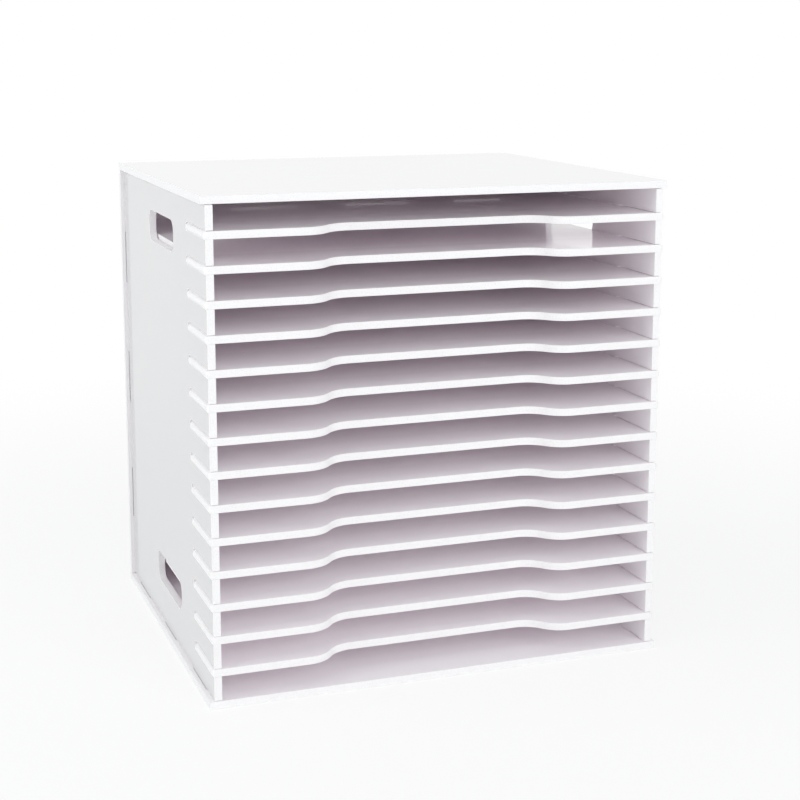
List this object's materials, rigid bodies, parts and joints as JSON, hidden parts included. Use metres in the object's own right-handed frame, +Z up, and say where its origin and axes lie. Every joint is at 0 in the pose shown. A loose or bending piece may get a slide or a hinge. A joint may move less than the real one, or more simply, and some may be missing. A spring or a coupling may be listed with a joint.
{
  "type": "paper storage rack",
  "caption": "Open-front rack of white boards with a stack of thin removable shelves for sheets of paper, finger notches along the front and hand holes in the sides.",
  "frame": {"origin": "on the floor, under the middle of the rack's outline", "axes": "+Z up, the open front faces -Y, +X to the right seen from the front"},
  "size_m": [0.3264, 0.28, 0.3367],
  "materials": {
    "white_board": "satin, white expanded PVC foam board"
  },
  "bodies": {
    "case": {"base_panel": "white_board", "top_panel": "white_board", "left_side_panel": "white_board", "right_side_panel": "white_board", "back_panel": "white_board"},
    "shelf_01": {"shelf_01": "white_board"},
    "shelf_02": {"shelf_02": "white_board"},
    "shelf_03": {"shelf_03": "white_board"},
    "shelf_04": {"shelf_04": "white_board"},
    "shelf_05": {"shelf_05": "white_board"},
    "shelf_06": {"shelf_06": "white_board"},
    "shelf_07": {"shelf_07": "white_board"},
    "shelf_08": {"shelf_08": "white_board"},
    "shelf_09": {"shelf_09": "white_board"},
    "shelf_10": {"shelf_10": "white_board"},
    "shelf_11": {"shelf_11": "white_board"},
    "shelf_12": {"shelf_12": "white_board"},
    "shelf_13": {"shelf_13": "white_board"},
    "shelf_14": {"shelf_14": "white_board"}
  },
  "joints": [
    {"name": "shelf_01_slide", "type": "slide", "parent": "case", "child": "shelf_01", "axis": [0, -1, 0], "range_m": [0, 0.28]},
    {"name": "shelf_02_slide", "type": "slide", "parent": "case", "child": "shelf_02", "axis": [0, -1, 0], "range_m": [0, 0.28]},
    {"name": "shelf_03_slide", "type": "slide", "parent": "case", "child": "shelf_03", "axis": [0, -1, 0], "range_m": [0, 0.28]},
    {"name": "shelf_04_slide", "type": "slide", "parent": "case", "child": "shelf_04", "axis": [0, -1, 0], "range_m": [0, 0.28]},
    {"name": "shelf_05_slide", "type": "slide", "parent": "case", "child": "shelf_05", "axis": [0, -1, 0], "range_m": [0, 0.28]},
    {"name": "shelf_06_slide", "type": "slide", "parent": "case", "child": "shelf_06", "axis": [0, -1, 0], "range_m": [0, 0.28]},
    {"name": "shelf_07_slide", "type": "slide", "parent": "case", "child": "shelf_07", "axis": [0, -1, 0], "range_m": [0, 0.28]},
    {"name": "shelf_08_slide", "type": "slide", "parent": "case", "child": "shelf_08", "axis": [0, -1, 0], "range_m": [0, 0.28]},
    {"name": "shelf_09_slide", "type": "slide", "parent": "case", "child": "shelf_09", "axis": [0, -1, 0], "range_m": [0, 0.28]},
    {"name": "shelf_10_slide", "type": "slide", "parent": "case", "child": "shelf_10", "axis": [0, -1, 0], "range_m": [0, 0.28]},
    {"name": "shelf_11_slide", "type": "slide", "parent": "case", "child": "shelf_11", "axis": [0, -1, 0], "range_m": [0, 0.28]},
    {"name": "shelf_12_slide", "type": "slide", "parent": "case", "child": "shelf_12", "axis": [0, -1, 0], "range_m": [0, 0.28]},
    {"name": "shelf_13_slide", "type": "slide", "parent": "case", "child": "shelf_13", "axis": [0, -1, 0], "range_m": [0, 0.28]},
    {"name": "shelf_14_slide", "type": "slide", "parent": "case", "child": "shelf_14", "axis": [0, -1, 0], "range_m": [0, 0.28]}
  ]
}
